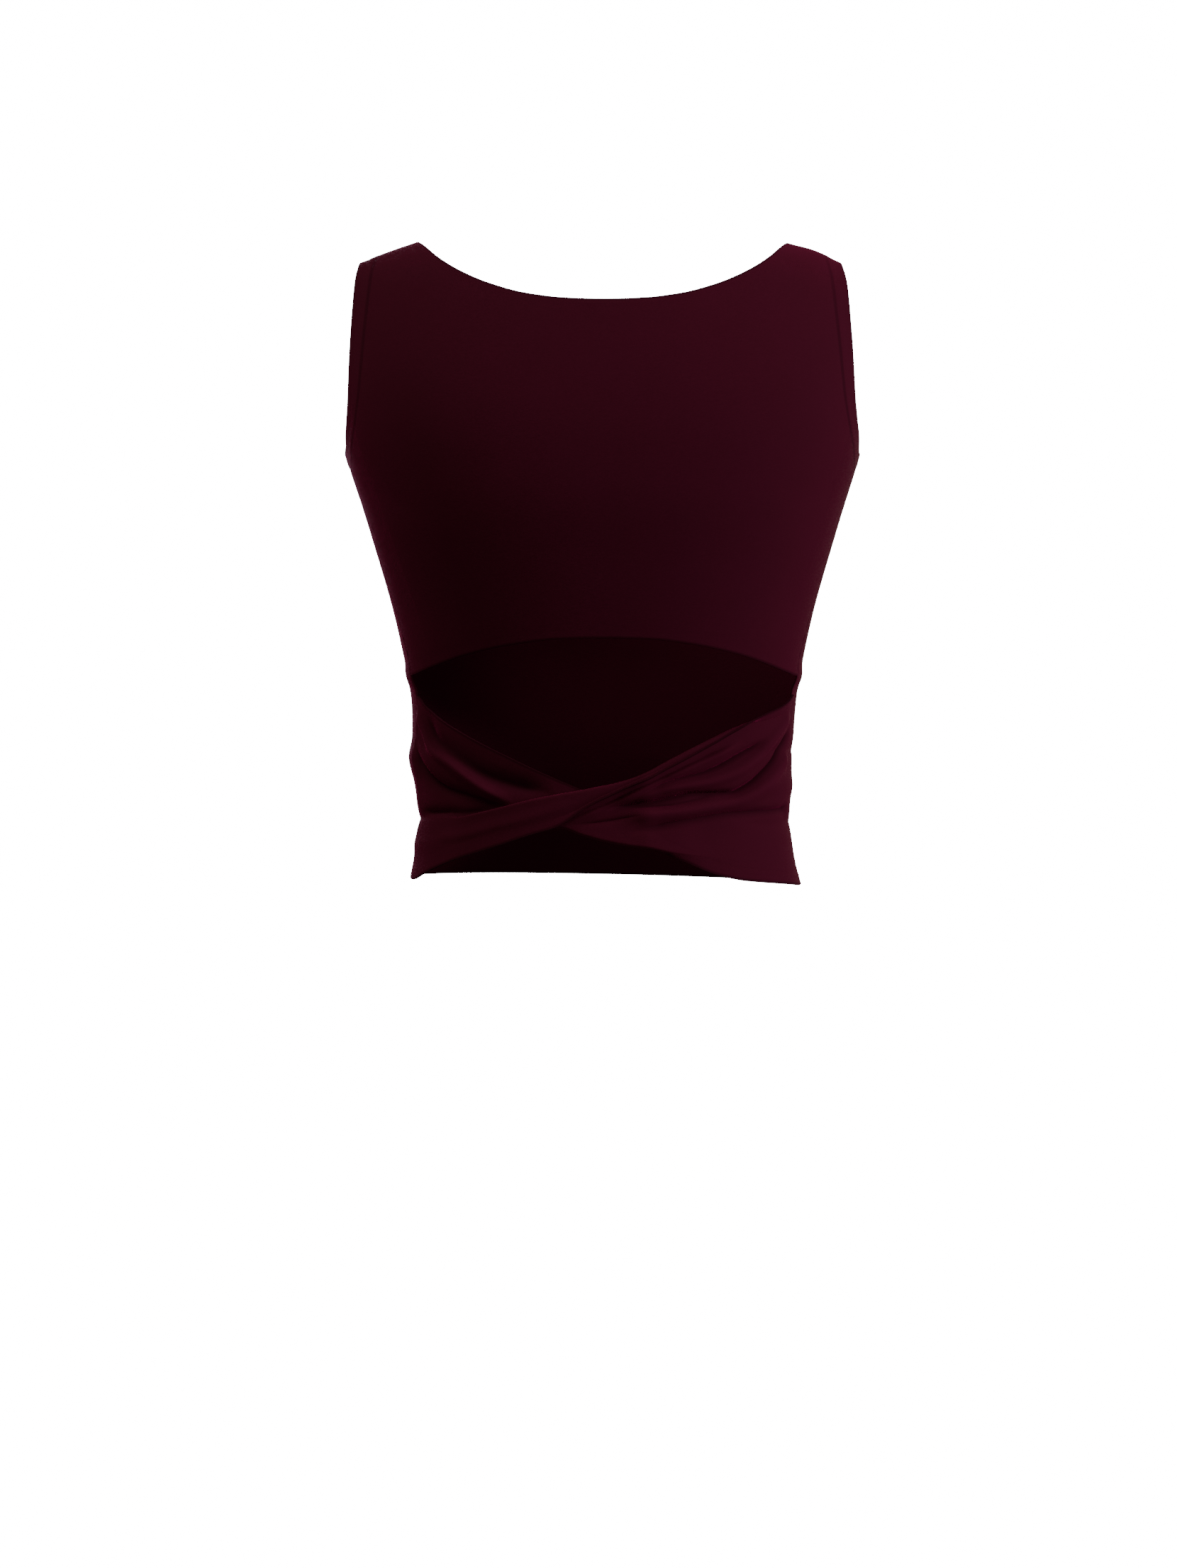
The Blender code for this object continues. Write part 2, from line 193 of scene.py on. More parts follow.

# %% [markdown]
# ## The jersey
# The cloth is a matt viscose jersey in a very dark burgundy. Seen close, a plain knit is columns of
# little V stitches, so the bump is made of two slanted legs in each column. The pattern follows the cloth
# through its UV map, which is in metres. Loose fibre gives the cloth its soft bloom where it turns away,
# and that is what the sheen of the shader is for. The dye is a shade uneven, and the gaps between the
# stitches are painted a little darker, as shade.

# %% Colours and sizes of the cloth
DYE = (0.038, 0.0030, 0.0092, 1)
# a deeper dye for the uneven tone, also used as painted shade in the gaps between the stitches
DEEP_DYE_AND_GAP_SHADE = (0.030, 0.0028, 0.0068, 1)
# painted shade: the colour the shaded edges, the crease bottoms and the sewn groove take
PAINTED_SHADE = (0.014, 0.0016, 0.0036, 1)
# painted highlight: the paler colour of the ridges of the folds
PAINTED_HIGHLIGHT = (0.052, 0.0044, 0.0132, 1)
BLOOM = (0.85, 0.03, 0.19, 1)
STITCH_WIDE, STITCH_HIGH = 0.62 * MM, 0.50 * MM
STITCH_LEG, STITCH_LOOP = 0.68, 0.32
FIBRE_NOISE = {"Scale": 2600, "Detail": 2}
TENSION_NOISE = {"Scale": 42, "Detail": 3}
BUMP = {"Strength": 0.5, "Distance": 0.11 * MM}
ROUGH, ROUGH_FIBRE, SHEEN_ROUGH, GLOSS = 0.74, 0.16, 0.38, 0.01
print("stitches in 10 mm:", round(10 * MM / STITCH_WIDE), "across,", round(10 * MM / STITCH_HIGH), "down")

# %% [markdown]
# ## Where shade and highlight are painted
# Where an edge is turned in, four layers lie on each other: the last millimetres roll away from the light,
# and their shade is painted into the colour as the deepest tone; the fold itself has no bloom. The ridges
# of the twist get a paler tone as a painted highlight, and the bottoms of its creases get painted shade.
# Round the armholes the turned edge is sewn down, and its line shows as a faint groove with painted shade
# in it. Each rule maps a distance in millimetres, which the cloth carries as an attribute, to a share of
# the tone.

# %% Rules of the tones
# painted shade at the edges, in the creases and in the sewn groove; painted highlight on the ridges
EDGE_SHADE = {"From Min": 1.9, "From Max": 0.7, "To Min": 0.0}
RIDGE_HIGHLIGHT = {"From Min": 0.8, "From Max": 2.6, "To Min": 0.0, "To Max": 0.2}
CREASE_SHADE = {"From Min": -0.5, "From Max": -3.0, "To Min": 0.0, "To Max": 0.8}
SEWN_LINE_AT, SEWN_LINE_SHADE = 12.5, 0.55
SEWN_LINE = {"From Min": 2.0, "From Max": 0.4, "To Min": 0.0, "To Max": 1.0}
SOFT = {"interpolation_type": "SMOOTHSTEP"}
print("tones change within", EDGE_SHADE["From Min"], "mm of an edge, and", SEWN_LINE_AT, "mm from an armhole")

# %% The knit, the tones and the shader
RELIEF = {"stitch": 0.7, "fibre": 0.5, "tension": 1.2, "groove": 3.0}
STITCH_GAP_SHADE, SHOWS_FIBRE = 0.5, 0.3


def knit(net):
    """The height of the stitches, from the UV map in metres."""
    uv = net.add("TexCoord", out="UV")
    along = net.add("SeparateXYZ", values={0: uv}, out="X") / STITCH_WIDE
    down = net.add("SeparateXYZ", values={0: uv}, out="Y") / STITCH_HIGH
    leg = abs(net.math("SINE", along * (2 * math.pi)))
    slant = abs(net.math("FRACT", along) - 0.5)
    loop = net.math("COSINE", (down + slant) * (2 * math.pi))
    return leg * (STITCH_LEG + STITCH_LOOP * loop)


def jersey(name, bloom, edge_shade_share):
    """The cloth: how much it blooms, and how much painted shade its edges take."""
    net = Net(name)
    stitch = knit(net)
    place = net.add("TexCoord", out="Object")
    fibre = net.add("TexNoise", values={"Vector": place} | FIBRE_NOISE)
    tension = net.add("TexNoise", values={"Vector": place} | TENSION_NOISE)
    edge = net.add("Attribute", {"attribute_name": "edge_mm"}, out="Fac")
    fold = net.add("Attribute", {"attribute_name": "fold_mm"}, out="Fac")
    by_armhole = net.add("Attribute", {"attribute_name": "armhole"}, out="Fac")
    # painted shade on the last millimetres before a free edge, where the turned edge rolls away from the
    # light
    edge_shade = net.add("MapRange", SOFT, EDGE_SHADE | {"Value": edge, "To Max": edge_shade_share})
    groove = net.add("MapRange", SOFT, SEWN_LINE | {"Value": abs(edge - SEWN_LINE_AT)}) * by_armhole

    tone = net.blend(tension, DYE, DEEP_DYE_AND_GAP_SHADE)
    # the low places between the stitches take the deeper colour as painted shade; the fibre share is random
    # tone
    tone = net.blend(stitch * STITCH_GAP_SHADE + fibre * SHOWS_FIBRE, DEEP_DYE_AND_GAP_SHADE, tone)
    # painted highlight on the ridges of the folds
    tone = net.blend(net.add("MapRange", values=RIDGE_HIGHLIGHT | {"Value": fold}), tone, PAINTED_HIGHLIGHT)
    # painted shade in the bottoms of the creases
    tone = net.blend(net.add("MapRange", values=CREASE_SHADE | {"Value": fold}), tone, PAINTED_SHADE)
    # painted shade in the groove of the armhole's sewn line; the groove itself is in the bump
    tone = net.blend(groove * SEWN_LINE_SHADE, tone, PAINTED_SHADE)
    relief = stitch * RELIEF["stitch"] + fibre * RELIEF["fibre"]
    relief = relief + tension * RELIEF["tension"] - groove * RELIEF["groove"]
    # the base colour takes the painted shade of the edges last
    net.set(Base_Color=net.blend(edge_shade, tone, PAINTED_SHADE), Roughness=ROUGH + ROUGH_FIBRE * fibre)
    net.set(Normal=net.add("Bump", values=BUMP | {"Height": relief}))
    net.set(Sheen_Weight=bloom, Sheen_Roughness=SHEEN_ROUGH, Sheen_Tint=BLOOM, Specular_IOR_Level=GLOSS)
    return net.material


jersey_cloth = jersey("burgundy_jersey", 0.12, 0.75)
# a darker copy of the cloth for the rims, with more painted shade and no bloom
rim_shaded_cloth = jersey("burgundy_jersey_rim_painted_shade", 0.0, 0.9)
print("jersey nodes:", len(jersey_cloth.node_tree.nodes))

# %% [markdown]
# ## The paint of the floor
# A garment shot for a shop stands before plain white. The paint is a very pale grey that glows, so that
# the floor comes out white whatever the lamps do. Only the camera's rays see the floor, so its glow
# doesn't fall on the cloth.

# %% Paint of the floor
PALE, PALER = (0.86, 0.86, 0.87, 1), (0.90, 0.90, 0.90, 1)
GLOW = 16.0


def pale_paint():
    net = Net("pale_paint")
    place = net.add("TexCoord", out="Object")
    cloud = net.add("TexNoise", values={"Vector": place, "Scale": 1.3, "Detail": 2})
    net.set(Base_Color=net.blend(cloud, PALE, PALER), Roughness=0.9)
    net.set(Emission_Color=(1, 1, 1, 1), Emission_Strength=GLOW)
    return net.material


floor.data.materials.append(pale_paint())
print("floor paint:", floor.data.materials[0].name)

# %% [markdown]
# ## Light
# Studio light is large and soft. The key light stands far to the right, a little above the garment, so
# the folds of the band shade off to the left. A weak one fills from the left, one from high up lights the
# slope of the shoulders, and two more light the front, which only the other views show. The last is a
# very small lamp in the hollow, so that the inside of the front is dark cloth and not a black hole.

# %% Lights
Lamp = namedtuple("Lamp", "name at aim size watts tint")
WHITE, COOL, WARM = (1, 1, 1), (1, 0.9, 1.14), (1, 1, 0.8)
BODY, HOLLOW = (0, 0, -0.2), (0, 0.08, -0.26)
LAMPS = (
    Lamp("key", (2.3, -0.92, 0.4), BODY, 1.0, 98, COOL),
    Lamp("fill", (-1.6, -1.25, 0.95), BODY, 1.4, 10, WARM),
    Lamp("top", (-1.2, -0.45, 1.55), BODY, 1.0, 36, WHITE),
    Lamp("front_key", (-0.95, 2.2, 0.8), BODY, 1.3, 92, COOL),
    Lamp("front_fill", (1.2, 2.1, 0.4), BODY, 1.4, 22, WARM),
    Lamp("inside", (0.0, -0.02, -0.26), HOLLOW, 0.05, 0.025, WHITE),
)
SKY = 0.21


def light(lamp):
    data = bpy.data.lights.new(lamp.name, "AREA")
    data.shape = "DISK"
    data.size = lamp.size
    data.energy = lamp.watts
    data.color = lamp.tint
    thing = bpy.data.objects.new(lamp.name, data)
    thing.location = lamp.at
    thing.rotation_euler = (Vector(lamp.aim) - Vector(lamp.at)).to_track_quat("-Z", "Y").to_euler()
    thing.visible_camera = False
    bpy.context.scene.collection.objects.link(thing)


for lamp in LAMPS:
    light(lamp)
world = bpy.data.worlds.new("studio")
world.use_nodes = True
sky = world.node_tree.nodes["Background"]
sky.inputs["Color"].default_value = (1.0, 1.0, 1.0, 1)
sky.inputs["Strength"].default_value = SKY
bpy.context.scene.world = world
print("lights:", len(LAMPS))

# %% [markdown]
# ## The form under the cloth
# A close-fitting top takes one simple form all round: a stack of rounded rings, from the shoulder line
# down to the hem, deeper at the chest and narrow at the waist. The table gives each ring's height and
# size in millimetres, and a smooth curve is put through each of its columns. A point of the form is then
# an angle from the centre back and a ring number. The tilt lifts the rings towards the neck, as the
# straps slope, and a low crown rounds the right strap, which lies a little fuller than the left one.

# %% Rings
Ring = namedtuple("Ring", "level half_width back front shift tilt back_power front_power")
RINGS = (
    Ring(0, 172, 0, 0, -1.5, 0.33, 2.2, 2.2),
    Ring(-3, 172, 22, 19, -1.5, 0.33, 2.2, 2.2),
    Ring(-12, 172, 41, 35, -1.4, 0.31, 2.2, 2.2),
    Ring(-26, 171, 57, 48, -1.2, 0.27, 2.25, 2.2),
    Ring(-45, 170, 70, 60, -1.2, 0.20, 2.3, 2.2),
    Ring(-70, 168, 82, 74, -1.1, 0.12, 2.4, 2.2),
    Ring(-98, 164.6, 91, 90, -1.0, 0.05, 2.5, 2.2),
    Ring(-128, 158.6, 96, 104, -0.1, 0.01, 2.5, 2.2),
    Ring(-158, 148.7, 96, 111, 0.2, 0, 2.45, 2.2),
    Ring(-188, 140, 91, 108, 0.3, 0, 2.4, 2.2),
    Ring(-220, 130.4, 84, 99, 0.4, 0, 2.3, 2.2),
    Ring(-250, 124, 77, 91, 0.5, 0, 2.25, 2.15),
    Ring(-280, 118.5, 71, 85, 0.8, 0, 2.2, 2.15),
    Ring(-310, 118, 67, 82, -0.3, 0, 2.2, 2.1),
    Ring(-345, 115, 66, 83, 0.6, 0, 2.2, 2.1),
    Ring(-370, 117, 69, 86, 0.8, 0, 2.2, 2.1),
    Ring(-396, 122.5, 74, 90, 1.4, 0, 2.2, 2.1),
)
TILT_AT, TILT_ROUND = 133.4, 30.0
CROWN_LEFT, CROWN_RIGHT = 0.0, 4.2
CROWN_AT, CROWN_WIDE = 131.0, 12.0
print("rings:", len(RINGS), "from", RINGS[0].level, "to", RINGS[-1].level, "mm")

# %% Curves through a table


def columns(table):
    return [np.array(c) for c in zip(*table)]


def smooth_through(xs, ys):
    """A curve through the points of a table that doesn't swing past them (monotone cubic)."""
    xs, ys = np.asarray(xs, float), np.asarray(ys, float)
    if xs[0] > xs[-1]:
        xs, ys = xs[::-1], ys[::-1]
    step, rise = np.diff(xs), np.diff(ys) / np.diff(xs)
    slope = np.zeros(len(xs))
    both = rise[:-1] * rise[1:] > 0
    one, two = 2 * step[1:] + step[:-1], step[1:] + 2 * step[:-1]
    inner = np.zeros(len(xs) - 2)
    inner[both] = (one + two)[both] / (one[both] / rise[:-1][both] + two[both] / rise[1:][both])
    slope[1:-1] = inner
    slope[0], slope[-1] = rise[0], rise[-1]

    def curve(x):
        x = np.clip(np.asarray(x, float), xs[0], xs[-1])
        i = np.clip(np.searchsorted(xs, x) - 1, 0, len(step) - 1)
        t = (x - xs[i]) / step[i]
        return (
            (2 * t**3 - 3 * t**2 + 1) * ys[i] + (t**3 - 2 * t**2 + t) * step[i] * slope[i]
            + (3 * t**2 - 2 * t**3) * ys[i + 1] + (t**3 - t**2) * step[i] * slope[i + 1]
        )

    return curve


print("a curve through 0, 1, 4 at 1.5:", round(float(smooth_through((0, 1, 2), (0, 1, 4))(1.5)), 3))

# %% [markdown]
# ## Even bends
# Light on a close cloth shows every change of bend as a band. Between the shoulders and the hem the bends
# of the curves are therefore spread over two rings: each curve is read off finely and replaced by its own
# average.

# %% The rings as even curves
RING_PARTS, EVEN_FROM, EVEN_GROWS = 100, 4, 2
NUMBERS = np.arange(len(RINGS), dtype=float)
LAST_RING = NUMBERS[-1]
FINE = np.linspace(0, LAST_RING, (len(RINGS) - 1) * RING_PARTS + 1)


def smooth_step(x):
    t = np.clip(x, 0, 1)
    return t * t * (3 - 2 * t)


def eased(values, reach):
    """The values, evened out along their rows."""
    weights = np.hanning(2 * reach + 3)[1:-1]
    padded = np.pad(values, ((reach, reach), (0, 0)), mode="edge")
    return sum(w * padded[i:i + len(values)] for i, w in enumerate(weights)) / weights.sum()


def evened(curve):
    """A curve of the table with its bends spread, between the shoulders and the hem."""
    share = smooth_step((FINE - EVEN_FROM) / EVEN_GROWS) * smooth_step((LAST_RING - FINE) / EVEN_GROWS)
    at = curve(FINE)
    even = at + share * (eased(at[:, None], RING_PARTS)[:, 0] - at)
    return lambda ring: np.interp(ring, FINE, even)


LEVEL, *SHAPE = columns(RINGS)
RING = {name: evened(smooth_through(NUMBERS, c)) for name, c in zip(Ring._fields[1:], SHAPE)}
RING["level"] = smooth_through(NUMBERS, LEVEL)
RING_OF_LEVEL = smooth_through(LEVEL, NUMBERS)
even_width = round(float(RING["half_width"](7)), 1)
print("half width at ring 7, mm:", even_width, "- in the table:", RINGS[7].half_width)

# %% Points of the form and the way out of it
RING_NEAR, ANGLE_NEAR = 0.02, 0.5


def power(v, p):
    return np.sign(v) * np.abs(v) ** p


def form(angle, ring):
    """Points on the form, mm. The angle runs from the centre back, and rings are counted down the table."""
    a = np.radians(angle)
    back = np.abs((angle + 180) % 360 - 180) <= 90
    p = 2 / np.where(back, RING["back_power"](ring), RING["front_power"](ring))
    x = RING["half_width"](ring) * power(np.sin(a), p)
    y = -np.where(back, RING["back"](ring), RING["front"](ring)) * power(np.cos(a), p)
    crown = np.where(x < 0, CROWN_LEFT, CROWN_RIGHT)
    crown = crown * np.exp(-(((np.abs(x) - CROWN_AT) / CROWN_WIDE) ** 2))
    z = RING["level"](ring) + RING["tilt"](ring) * (TILT_AT - np.hypot(x, TILT_ROUND) + crown)
    return np.stack([x + RING["shift"](ring), y, z], -1)


def out_of(angle, ring):
    """The direction straight out of the form, from the differences of near points."""
    round_it = form(angle + ANGLE_NEAR, ring) - form(angle - ANGLE_NEAR, ring)
    low = np.minimum(ring + RING_NEAR, LAST_RING)
    high = np.maximum(np.minimum(ring, LAST_RING) - RING_NEAR, 0.0)
    n = np.cross(form(angle, low) - form(angle, high), round_it)
    return n / np.linalg.norm(n, axis=-1, keepdims=True)


WAIST_RING = 14.0
waist = form(np.linspace(0, 360, 361), np.full(361, WAIST_RING))
print("waist girth, mm:", round(float(np.linalg.norm(np.diff(waist, axis=0), axis=1).sum())))

# %% [markdown]
# ## Where the cloth is cut
# The edges are short tables too. The armholes and the side seam run down the form, so they are angles at
# heights. The necklines, the arch over the opening and the hem are seen straight on, so they are heights
# at distances from the middle.

# %% Cut lines
Armhole = namedtuple("Armhole", "level back front")
ARMHOLE = (
    Armhole(0, 58, 58), Armhole(-20, 59.8, 56), Armhole(-45, 61, 55), Armhole(-70, 62.7, 58),
    Armhole(-92, 65.2, 66), Armhole(-108, 69.6, 76), Armhole(-119, 75.6, 86), Armhole(-125, 79.8, 91.6),
    Armhole(-126.6, 82, 94), Armhole(-127, 84, 96),
)
Side = namedtuple("Side", "level angle")
SIDE_SEAM = (
    Side(-127, 84), Side(-160, 82), Side(-200, 79), Side(-240, 75), Side(-275, 72.5), Side(-315, 74.5),
    Side(-355, 78), Side(-396, 80),
)
Line = namedtuple("Line", "x z")
BACK_NECK = (
    Line(0, -45.2), Line(8, -45.1), Line(24, -44.2), Line(45, -40.9), Line(66, -34), Line(86, -23.4),
    Line(100, -12.2), Line(108, -3), Line(115, 4.8),
)
FRONT_NECK = (
    Line(0, -96), Line(8, -95.8), Line(25, -93), Line(47, -84), Line(68, -68), Line(86, -46),
    Line(101, -21), Line(115, 4.8),
)
ARCH = (
    Line(0, -244.6), Line(8, -244.62), Line(27, -245.1), Line(53, -247.9), Line(80, -253), Line(98, -258),
    Line(115, -263.5),
)
HEM = (Line(-120, -386.5), Line(0, -389), Line(120, -391.5))

ARM_LEVEL, ARM_BACK, ARM_FRONT = columns(ARMHOLE)
BACK_ARM = smooth_through(ARM_LEVEL, ARM_BACK)
FRONT_ARM = smooth_through(ARM_LEVEL, ARM_FRONT)
SEAM_ANGLE = smooth_through(*columns(SIDE_SEAM))
print("side seam from", SIDE_SEAM[0].level, "to", SIDE_SEAM[-1].level, "mm")

# %% [markdown]
# ## Creases
# Close jersey has few creases, and they start where the cloth is held: at the underarm, along the side
# seam and at the waist, where it has crept up. Each is a rounded ridge or a sharper trough along a curved
# path. `Fold` gives its height, its width above and below the path, because one side is often steeper,
# and a few points of the path. On the body a path runs over angle and level, so that a crease crosses the
# side seam without a break.

# %% Folds of the body
Fold = namedtuple("Fold", "name height above below path")
BODY_FOLDS = (
    Fold("left corner", 1.7, 7, 7, ((-96, -262), (-80, -263), (-72, -264), (-58, -263))),
    Fold("right corner", 1.9, 7, 7, ((58, -263), (72, -264), (80, -263), (96, -262))),
    Fold("left waist ridge", 2.7, 10, 15,
         ((-150, -332), (-110, -321), (-84, -313), (-56, -316), (-24, -328))),
    Fold("left waist crease", -2.0, 6, 5,
         ((-140, -358), (-105, -353), (-80, -350), (-60, -347), (-36, -344))),
    Fold("left lower ridge", 0.8, 7, 7,
         ((-150, -371), (-110, -367), (-80, -366), (-62, -366), (-40, -364))),
    Fold("right upper crease", -1.0, 5, 5,
         ((36, -318), (62, -309), (78, -308), (108, -312), (146, -322))),
    Fold("right waist ridge", 1.2, 8, 8, ((34, -338), (60, -331), (80, -330), (108, -336), (150, -345))),
    Fold("right waist crease", -1.1, 6, 6,
         ((32, -349), (58, -354), (80, -352), (110, -357), (150, -364))),
    Fold("right bust pull", 1.0, 9, 9, ((92, -150), (108, -158), (126, -170), (140, -186))),
    Fold("left bust pull", 1.0, 9, 9, ((-140, -182), (-126, -168), (-108, -156), (-92, -149))),
    Fold("right underarm pull", -0.7, 7, 7, ((40, -176), (56, -158), (70, -143), (84, -136))),
    Fold("left underarm pull", -0.6, 8, 8, ((-84, -138), (-70, -146), (-56, -160), (-42, -176))),
    Fold("right front pull", -1.1, 5, 8,
         ((-178, -318), (-160, -322), (-138, -334), (-112, -352), (-96, -360))),
    Fold("left front pull", -0.9, 5, 8, ((98, -336), (120, -330), (142, -320), (164, -312), (179, -310))),
)
print("body folds:", len(BODY_FOLDS))

# %% How folds push the cloth
RIDGE_FALLS, CREASE_FALLS, CREASE_BOTTOM = 1.6, 1.8, 0.3
SLOPE_NEAR, MOST_FADE = 0.02, 0.45
MM_PER_DEGREE, FADE_DEGREES = 1.9, 26


def profile(off, rounded):
    """How high a ridge or a crease is at this share of its width from its path."""
    if rounded:
        return np.exp(-RIDGE_FALLS * off**2)
    return np.exp(-CREASE_FALLS * (np.hypot(off, CREASE_BOTTOM) - CREASE_BOTTOM))


def push_of(folds, along, height, length_of_one, run):
    """How far the folds push the cloth out, mm, at each place along and height."""
    push = np.zeros(np.shape(height))
    for fold in folds:
        us, zs = columns(fold.path)
        curve = smooth_through(us, zs)
        long = us[-1] - us[0]
        near = SLOPE_NEAR * long
        slope = (curve(along + near) - curve(along - near)) / (2 * near * length_of_one)
        off = (height - curve(along)) / np.hypot(1, slope)
        off = off / np.where(off > 0, fold.above, fold.below)
        fade = min(run, MOST_FADE * long)
        within = smooth_step((along - us[0]) / fade) * smooth_step((us[-1] - along) / fade)
        push += fold.height * profile(off, fold.height > 0) * within
    return push


def body_push(angle, level):
    return push_of(BODY_FOLDS, (angle + 180) % 360 - 180, level, MM_PER_DEGREE, FADE_DEGREES)


crest = float(body_push(np.array([-84.0]), np.array([-313.0]))[0])
print("crest of the left waist ridge, mm:", round(crest, 1))

# %% [markdown]
# ## Cutting the panels
# The front and the upper back are cut the same way, with different numbers. The grid of a panel has
# straight rows over each strap, then the columns between the straps begin at the neckline and those
# beside them at the armhole, so every edge of the cloth is an edge of the grid and stays smooth. Places
# above a neckline or armhole are left empty and taken out.

# %% Helpers for the grid
HALVINGS = 40


def meeting(low, high, above):
    """Where above(x) turns from true to false between low and high, for every number in them."""
    low, high = (np.array(v, float) for v in np.broadcast_arrays(low, high))
    for _ in range(HALVINGS):
        middle = (low + high) / 2
        low, high = np.where(above(middle), middle, low), np.where(above(middle), high, middle)
    return (low + high) / 2


def spaced(*runs):
    """Numbers from run to run: (first, last, spans), ..."""
    parts = [np.linspace(a, b, n + 1)[:-1] for a, b, n in runs]
    return np.concatenate(parts + [[runs[-1][1]]])


print("spans:", len(spaced((0, 1, 4), (1, 2, 3))) - 1)

# %% Sizes of the two panels
Cut = namedtuple("Cut", "facing neck low arm neck_level arm_level "
                 "across strap side rows_strap rows_arm rows_low")
BACK = Cut(0, BACK_NECK, ARCH, BACK_ARM, -22, -84, 84, 16, 18, 18, 24, 62)
FRONT = Cut(180, FRONT_NECK, HEM, FRONT_ARM, -52, -72, 84, 16, 28, 30, 10, 112)
WALL = 1.2
UNDERARM = float(RING_OF_LEVEL(SIDE_SEAM[0].level))
print("underarm at ring", round(UNDERARM, 2))

# %% The edges of a panel, as angles from its own middle


def seam_angle(cut, ring):
    seam = SEAM_ANGLE(RING["level"](np.maximum(ring, UNDERARM)))
    return seam if cut.facing == 0 else 180 - seam


def arm_angle(cut, ring):
    return cut.arm(RING["level"](ring))


def way_of(cut, angle):
    """An angle from the middle of the panel, as an angle on the form."""
    return cut.facing + (angle if cut.facing == 0 else -angle)


def above_neck(cut, angle, ring):
    p = form(way_of(cut, angle), ring)
    return p[..., 2] > smooth_through(*columns(cut.neck))(np.abs(p[..., 0]))


def neck_angle(cut, ring, side):
    return meeting(0 * ring, 90 + 0 * ring, lambda a: above_neck(cut, side * a, ring))


def above_low(cut, angle, ring):
    p = form(way_of(cut, angle), ring)
    both_sides = cut.low[0].x < 0
    return p[:, 2] > smooth_through(*columns(cut.low))(p[:, 0] if both_sides else np.abs(p[:, 0]))


print("back seam at the waist, degrees:", round(float(seam_angle(BACK, WAIST_RING)), 1))

# %% [markdown]
# ## Columns and rows
# A column keeps its share of the way from the middle of the panel to the side seam, so it runs down the
# cloth as a rib of the knit does. Over a strap the columns keep between the neckline and the armhole
# instead. The rows start at the shoulder on a strap, at the neckline between the straps and at the
# armhole beside them, and all of them end at the lower edge. Where an edge meets a column is found by
# halving.

# %% The columns of a panel
Layout = namedtuple("Layout", "c size left right outer inner on_neck on_side neck_ring arm_ring")
TINY = 1e-6


def layout(cut):
    """Where the columns run, from -1 at one seam to 1 at the other, and which are beside the straps."""
    neck_ring = float(RING_OF_LEVEL(cut.neck_level))
    arm_ring = float(RING_OF_LEVEL(cut.arm_level))
    neck_at = [float(neck_angle(cut, np.array([neck_ring]), side)[0]) for side in (-1, 1)]
    left, right = (a / float(seam_angle(cut, neck_ring)) for a in neck_at)
    outer = float(arm_angle(cut, arm_ring) / seam_angle(cut, arm_ring))
    c = spaced((-1, -outer, cut.side), (-outer, -left, cut.strap), (-left, right, cut.across),
               (right, outer, cut.strap), (outer, 1, cut.side))
    size, inner = np.abs(c), np.where(c < 0, left, right)
    return Layout(c, size, left, right, outer, inner, size < inner - TINY, size > outer + TINY,
                  neck_ring, arm_ring)


print("columns of the back:", len(layout(BACK).c))

# %% Where each column starts and ends
ABOVE_NECK, NECK_LIMIT = 0.5, 9
ABOVE_ARM, PAST_UNDERARM = 0.2, 0.01


def top_rings(cut, lay):
    """The ring where each column starts: at the neckline, at the armhole, or on the strap."""
    top = np.full(len(lay.c), lay.neck_ring)
    c, size = lay.c[lay.on_neck], lay.size[lay.on_side]
    top[lay.on_neck] = meeting(0 * c + lay.neck_ring - ABOVE_NECK, 0 * c + NECK_LIMIT,
                               lambda r: above_neck(cut, c * seam_angle(cut, r), r))
    top[lay.on_side] = meeting(0 * size + lay.arm_ring - ABOVE_ARM, 0 * size + UNDERARM + PAST_UNDERARM,
                               lambda r: size * seam_angle(cut, r) > arm_angle(cut, r))
    return top


def low_rings(cut, lay, top):
    """The ring where each column ends, at the lower edge."""
    return meeting(top + 1, 0 * top + LAST_RING, lambda r: above_low(cut, lay.c * seam_angle(cut, r), r))


tops = top_rings(BACK, layout(BACK))
print("the middle of the back neck is at ring", round(float(tops[len(tops) // 2]), 2))

# %% The rows of a panel


def rings_of(cut, lay):
    """The ring of each row down the straps, and of each point of the grid."""
    top = top_rings(cut, lay)
    low = low_rings(cut, lay, top)
    end = float(low[np.argmin(np.abs(lay.size - lay.outer))])
    strap = spaced((0, lay.neck_ring, cut.rows_strap), (lay.neck_ring, lay.arm_ring, cut.rows_arm),
                   (lay.arm_ring, end, cut.rows_low))
    ring = np.repeat(strap[:, None], len(lay.c), 1)
    runs = (
        (cut.rows_strap + cut.rows_arm, lay.arm_ring, ~lay.on_neck & ~lay.on_side, 0 * top + lay.arm_ring),
        (cut.rows_strap + cut.rows_arm, lay.arm_ring, lay.on_side, top),
        (cut.rows_strap, lay.neck_ring, lay.on_neck, top),
    )
    for first, start, zone, begin in runs:
        share = (strap[first:] - start) / (end - start)
        ring[first:, zone] = begin[zone] + share[:, None] * (low - begin)[zone]
    return strap, ring


